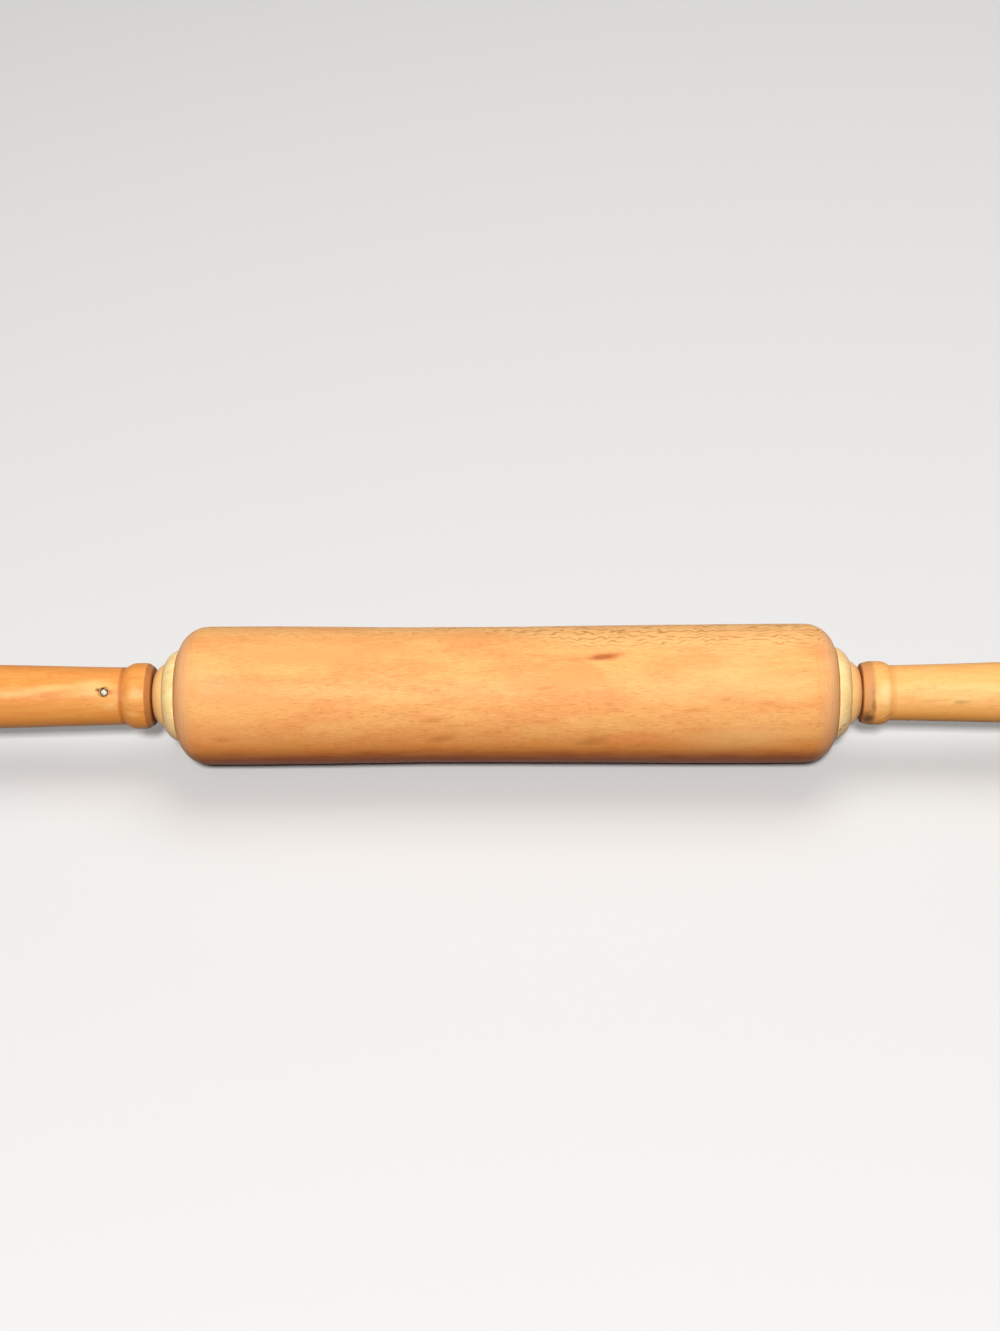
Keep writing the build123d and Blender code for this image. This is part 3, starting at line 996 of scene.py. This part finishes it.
def right_handle_marks(s, size):
    """Coats for the pink shoulder with painted shade, painted shade at the bead's foot and by the collar, a
    painted highlight on the bead, pale patches, olive stains and the light scratch.
    """
    uneven = s.scaled(s.noise((3, 3, 3), detail=4.0), 1.8, s.along)
    return (
        # Pinkish tan on the shoulder that faces the collar, darkened as painted shade.
        (size.chamfer_tone_and_shade, s.fade(uneven, 143.1, 141.4), 0.8),
        # A darker band at the bead's foot: painted shade in the crease.
        (size.valley, s.band(s.along, 148.7, 0.3, 1.4), 0.4),
        # A pale patch high on the bead: painted highlight.
        (size.pale, s.mark(145.5, 40, 12.3, (3.6, 8, 3), 0, SHINE), 1.0),
        (size.pale, s.mark(180, 50, 11.5, (34, 3, 3), 0, CLOUD), 0.1),
        (size.stain, s.mark(140.6, 40, 12, (1.6, 5, 3), 0, STAIN), 0.3),
        (size.stain, s.mark(140.8, 15, 12, (1.4, 3.6, 3), 0, STAIN), 0.6),
        (size.stain, s.mark(139.2, -12, 12, (3.4, 5, 3), 0, STAIN), 0.85),
        (size.pit, s.mark(138.8, -15, 12, (2.8, 3.8, 3), 0, STAIN), 0.6),
        (size.stain, s.mark(146.6, -8, 12.2, (3.4, 0.8, 3), 16, STAIN), 0.35),
        (size.stain, s.mark(174.1, 22, 12, (4.6, 1.4, 3), 3, STAIN), 0.36),
        (size.grain, s.mark(166, 26, 12, (9, 0.8, 3), 3, STAIN), 0.3),
        (size.grain, s.mark(194, 40, 12, (12, 1.2, 3), 2, STAIN), 0.25),
        (size.scratch, s.mark(144.4, -9, 12.2, (3.4, 0.32, 1), 32, SCRATCH), 0.55),
        # Darker on the face beside the collar: painted shade in the gap.
        (size.pit, s.fade(s.along, 137.3, 137), 0.3),
    )


def nail_pit_shade(s, size, place, lean):
    """The coat of painted shade on the rim of a nail's pit."""
    reach = (settings().nail.pit_radius / MM,) * 3
    rim = s.mark(place / MM, 90 - math.degrees(lean), size.neck_radius / MM, reach, 0, PIT_RIM)
    return size.pit, rim, 0.9


def make_handle(name, side, seed, lean, facing, marks, roughness, coat):
    """One handle in old, thinly coated wood: side is -1 on the left and 1 on the right.

    The nail leans from upright towards the front, and the wood's layers face the direction given.
    """
    size, nail = getattr(settings(), name), settings().nail
    middle = side * nail.place
    grid = handle_grid(size, nail, side, seed, lean)
    if side < 0:
        # A chip 2.4 mm farther out than the nail and 0.65 mm farther up round the neck
        chip_place, chip_lean = middle - 2.4 * MM, lean - 0.65 / 11.3
        chip_radius, chip_depth = 0.75 * MM, 0.5 * MM
        floor = size.neck_radius - chip_depth
        grid = press_pit(grid, chip_place, chip_lean, chip_radius, floor, seed + 1)
    s = Shader(name + "_wood")
    wood, height = handle_wood(s, size, seed, facing)
    colour = s.coats(wood, *marks(s, size), nail_pit_shade(s, size, middle, lean))
    uneven = s.scaled(s.noise((18, 6, 6), where=(4, 4, 4)), 0.2, roughness)
    fixed = {"Coat_Weight": coat, "Coat_Roughness": 0.3, "Specular_IOR_Level": 0.22}
    material = s.finish(colour, uneven, height, depth=0.045, **fixed)
    surface("turned_" + name, grid, "handles", name, material, closed=False)


def make_left_handle():
    """The stouter, redder handle, with its nail in view and a small chip beside the nail's pit."""
    make_handle(
        "left_handle",
        side=-1,
        seed=31,
        lean=settings().nail.left_lean,
        facing=rising(2.4),
        marks=left_handle_marks,
        roughness=0.4,
        coat=0.08,
    )


def make_right_handle():
    """The slimmer, paler handle, with its nail on the hidden side."""
    make_handle(
        "right_handle",
        side=1,
        seed=47,
        lean=settings().nail.right_lean,
        facing=rising(0.9),
        marks=right_handle_marks,
        roughness=0.48,
        coat=0.05,
    )


# Nails


def nail_outline(size, neck_radius):
    """From the crown's middle over the head, down the shank to the tip, as (height from the pin, radius)."""
    seat = neck_radius - size.pit_depth
    tip = seat - size.shank_length
    return [
        quarter((seat + size.head_thickness, 0), size.head_crown, size.head_radius)[::-1],
        corners(
            (seat, size.head_radius),
            (seat, size.shank_radius),
            (tip + size.point_length, size.shank_radius),
            (tip, 0),
        ),
    ]


def nail_steel(name, size, place, out, neck_radius):
    """Rubbed and lighter in the middle of the head, where a painted highlight sits, pitted, and dark towards
    its rim.
    """
    s = Shader(name + "_steel")
    top = out * (neck_radius - size.pit_depth + size.head_thickness) / MM
    middle = (place / MM, float(top[1]), float(top[2]))
    rubbed_and_highlight = s.spot(middle, (1.15, 1.15, 1.15), RUBBED)
    specks = s.noise((0.3, 0.3, 0.3), roughness=0.7)
    colour = s.coats(
        s.mix(rubbed_and_highlight, size.tarnish, size.steel),
        (size.tarnish, s.fade(specks, 0.5, 0.7), 0.8),
    )
    return s.finish(colour, s.scaled(specks, 0.3, 0.3), specks, depth=0.04, Metallic=1.0)


def make_nail(name, lean, neck_radius, side, seed):
    """A nail turned about its own line and stood in its pit, its head dented by the hammer.

    Each dent is a Gaussian bump about a seeded place on the head, and sinks along the nail.
    """
    size = settings().nail
    parts = nail_outline(size, neck_radius)
    outline = turned_line(parts, closed=False, coarse=0.5 * MM, softening=0.05 * MM)
    local = turned_grid(outline, full_turn(step=6))
    rng = np.random.default_rng(seed)
    top, dents = outline[0, 0], 5
    on_head = smooth(local[..., 0], top - 0.4 * MM, top - 0.15 * MM)
    for _ in range(dents):
        middle = rng.uniform(-0.9, 0.9, 2) * MM
        spread = ((local[..., 1:] - middle) ** 2).sum(axis=-1) / (rng.uniform(0.3, 0.6) * MM) ** 2
        local[..., 0] -= on_head * rng.uniform(0.03, 0.08) * MM * np.exp(-spread)
    across, out = nail_lines(lean)
    along = np.array([1.0, 0, 0])
    place = side * size.place
    grid = place * along + local[..., :1] * out + local[..., 1:2] * along + local[..., 2:] * across
    material = nail_steel(name, size, place, out, neck_radius)
    surface("forged_" + name, grid, "handles", name, material, closed=False)


# Spindle


def finish_spindle():
    """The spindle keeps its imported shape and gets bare, dry wood, darkened where it rubs."""
    look = settings().collar
    s = Shader("spindle_wood")
    streaks = s.noise((30, 1.4, 1.4), detail=4.0, roughness=0.6)
    colour = s.coats(
        s.mix(s.fade(streaks, 0.35, 0.7), look.amber, look.grain),
        (look.grain, s.band(s.math("ABSOLUTE", s.along), 132, 6, 3), 0.5),
    )
    material = s.finish(colour, s.scaled(streaks, 0.2, 0.5), streaks, depth=0.05)
    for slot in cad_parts["spindle"].material_slots:
        slot.material = material


# Stage


def floor_paper(look):
    """Pale paper to the eye and in gloss, which throws little light back up at the wood."""
    s = Shader("floor_paper")
    ray = s.add("LightPath").outputs
    seen = s.math("MAXIMUM", ray["Is Camera Ray"], ray["Is Glossy Ray"])
    seen = s.math("MAXIMUM", seen, ray["Is Transmission Ray"])
    tooth = s.noise((0.5, 0.5, 0.5), detail=2.0)
    colour = s.mix(seen, look.bounce, look.floor)
    return s.finish(colour, s.scaled(tooth, 0.1, 0.85), tooth, depth=0.02, Specular_IOR_Level=0.1)


def make_floor(look):
    """A round floor that curves up at its rim, as one surface turned about the upright through the origin.

    The section runs level, with two rings on the way, and then along nearly a quarter of a circle. The
    middle is a fan.
    """
    level, rise, last_turn = 2.2, 1.1, 88
    columns, steps = 96, 24
    turn = np.radians(np.linspace(0, last_turn, steps))
    radius = np.concatenate([[0.6, 1.4], level + rise * np.sin(turn)])[:, None]
    height = np.concatenate([[0, 0], rise * (1 - np.cos(turn))])[:, None]
    angle = np.linspace(0, math.tau, columns, endpoint=False)
    rings = np.stack([radius * np.cos(angle), radius * np.sin(angle), height + 0 * angle], axis=-1)
    points = np.concatenate([rings.reshape(-1, 3), [[0, 0, 0]]])
    outer = np.arange(1, len(radius)) * columns
    quads = quads_between(outer, outer - columns, columns)
    middle = fan(len(points) - 1, 0, columns)[:, ::-1]
    floor = add_mesh("floor", points, quads.tolist() + middle.tolist(), floor_paper(look))


def stand(name, data, where, right, up, back):
    """An object at a place, with its own axes turned to three directions."""
    holder = add_object(name, data)
    turn = np.column_stack([right, up, back])
    holder.matrix_world = Matrix.Translation(where.tolist()) @ Matrix(turn.tolist()).to_4x4()
    return holder


def make_lamp(name, power, size, where):
    """A square area lamp that looks at the middle of the barrel."""
    lamp = bpy.data.lights.new(name, "AREA")
    lamp.energy, lamp.size = power, size
    where = np.array(where)
    back = where - (0, 0, AXIS_HEIGHT)
    back /= np.linalg.norm(back)
    right = np.cross((0, 0, 1), back)
    right /= np.linalg.norm(right)
    stand(name, lamp, where, right, np.cross(back, right), back)


def make_camera(look):
    """The photograph's camera: about 0.8 m away, looking down by 40 degrees and turned slightly.

    It looks at a point of the pin's line, and is then raised in its own frame by a share of its distance.
    """
    camera = bpy.data.cameras.new("camera")
    camera.lens = look.lens
    camera.sensor_width = 36
    camera.sensor_fit = "AUTO"
    elevation, yaw, roll = math.radians(40.17), math.radians(1.3), math.radians(0.265)
    target = np.array([-2.36 * MM, 0, AXIS_HEIGHT])
    distance, raised = 0.778, 28.9 / 2000
    along = np.array([1.0, 0, 0])
    back = np.array([0, -math.cos(elevation), math.sin(elevation)])
    up = np.array([0, math.sin(elevation), math.cos(elevation)])
    back, right = math.sin(yaw) * along + math.cos(yaw) * back, math.cos(yaw) * along - math.sin(yaw) * back
    right, up = math.cos(roll) * right - math.sin(roll) * up, math.cos(roll) * up + math.sin(roll) * right
    where = target + distance * (back + raised * up)
    bpy.context.scene.camera = stand("camera", camera, where, right, up, back)


def make_surround(look):
    """A plain pale world."""
    world = bpy.data.worlds.new("surround")
    world.use_nodes = True
    glow = world.node_tree.nodes["Background"]
    glow.inputs["Color"].default_value = (1, 1, 1, 1)
    glow.inputs["Strength"].default_value = look.surround
    bpy.context.scene.world = world


# Operators, panel and registration


class PinBarrel(bpy.types.Operator):
    """Turn the barrel and lay its wood on it"""

    bl_idname = "rolling_pin.barrel"
    bl_label = "Barrel"

    def execute(self, context):
        make_barrel()
        return {"FINISHED"}


class PinCollars(bpy.types.Operator):
    """Turn the two end collars"""

    bl_idname = "rolling_pin.collars"
    bl_label = "End Collars"

    def execute(self, context):
        make_collar(side=-1, seed=13)
        make_collar(side=1, seed=17)
        return {"FINISHED"}


class PinHandles(bpy.types.Operator):
    """Turn the two handles and press in the nails' pits"""

    bl_idname = "rolling_pin.handles"
    bl_label = "Handles"

    def execute(self, context):
        make_left_handle()
        make_right_handle()
        return {"FINISHED"}


class PinNails(bpy.types.Operator):
    """Forge the two nails and stand them in their pits"""

    bl_idname = "rolling_pin.nails"
    bl_label = "Nails"

    def execute(self, context):
        pin = settings()
        make_nail("left_handle_nail", pin.nail.left_lean, pin.left_handle.neck_radius, side=-1, seed=3)
        make_nail("right_handle_nail", pin.nail.right_lean, pin.right_handle.neck_radius, side=1, seed=4)
        return {"FINISHED"}


class PinSpindle(bpy.types.Operator):
    """Give the spindle its dry wood"""

    bl_idname = "rolling_pin.spindle"
    bl_label = "Spindle Wood"

    def execute(self, context):
        finish_spindle()
        return {"FINISHED"}


class PinStage(bpy.types.Operator):
    """Set up the floor, lamps, surroundings and camera"""

    bl_idname = "rolling_pin.stage"
    bl_label = "Stage"

    def execute(self, context):
        look = settings().stage
        context.scene.view_settings.view_transform = "Standard"
        make_floor(look)
        make_surround(look)
        make_lamp("key_lamp", look.key_power, size=0.42, where=(-0.05, -1.95, 2.24))
        make_lamp("fill_lamp", look.fill_power, size=1.5, where=(0.35, 0.95, 1.95))
        make_camera(look)
        return {"FINISHED"}


OPERATORS = (PinBarrel, PinCollars, PinHandles, PinNails, PinSpindle, PinStage)


class PinPanel(bpy.types.Panel):
    """Lists the pieces in the order in which they are made"""

    bl_label = "Rolling Pin"
    bl_idname = "VIEW3D_PT_rolling_pin"
    bl_space_type = "VIEW_3D"
    bl_region_type = "UI"
    bl_category = "Rolling Pin"

    def draw(self, context):
        for operator in OPERATORS:
            self.layout.operator(operator.bl_idname)


CLASSES = (
    BarrelSettings,
    CollarSettings,
    LeftHandleSettings,
    RightHandleSettings,
    NailSettings,
    StageSettings,
    PinSettings,
    *OPERATORS,
    PinPanel,
)


def register():
    """Adds the settings, the operators and the panel."""
    for kind in CLASSES:
        bpy.utils.register_class(kind)
    bpy.types.Scene.rolling_pin = bpy.props.PointerProperty(type=PinSettings)


def unregister():
    """Takes them away again."""
    del bpy.types.Scene.rolling_pin
    for kind in reversed(CLASSES):
        bpy.utils.unregister_class(kind)


def main():
    """Makes every piece and the stage."""
    register()
    bpy.ops.rolling_pin.barrel()
    bpy.ops.rolling_pin.collars()
    bpy.ops.rolling_pin.handles()
    bpy.ops.rolling_pin.nails()
    bpy.ops.rolling_pin.spindle()
    bpy.ops.rolling_pin.stage()


if __name__ == "__main__":
    main()
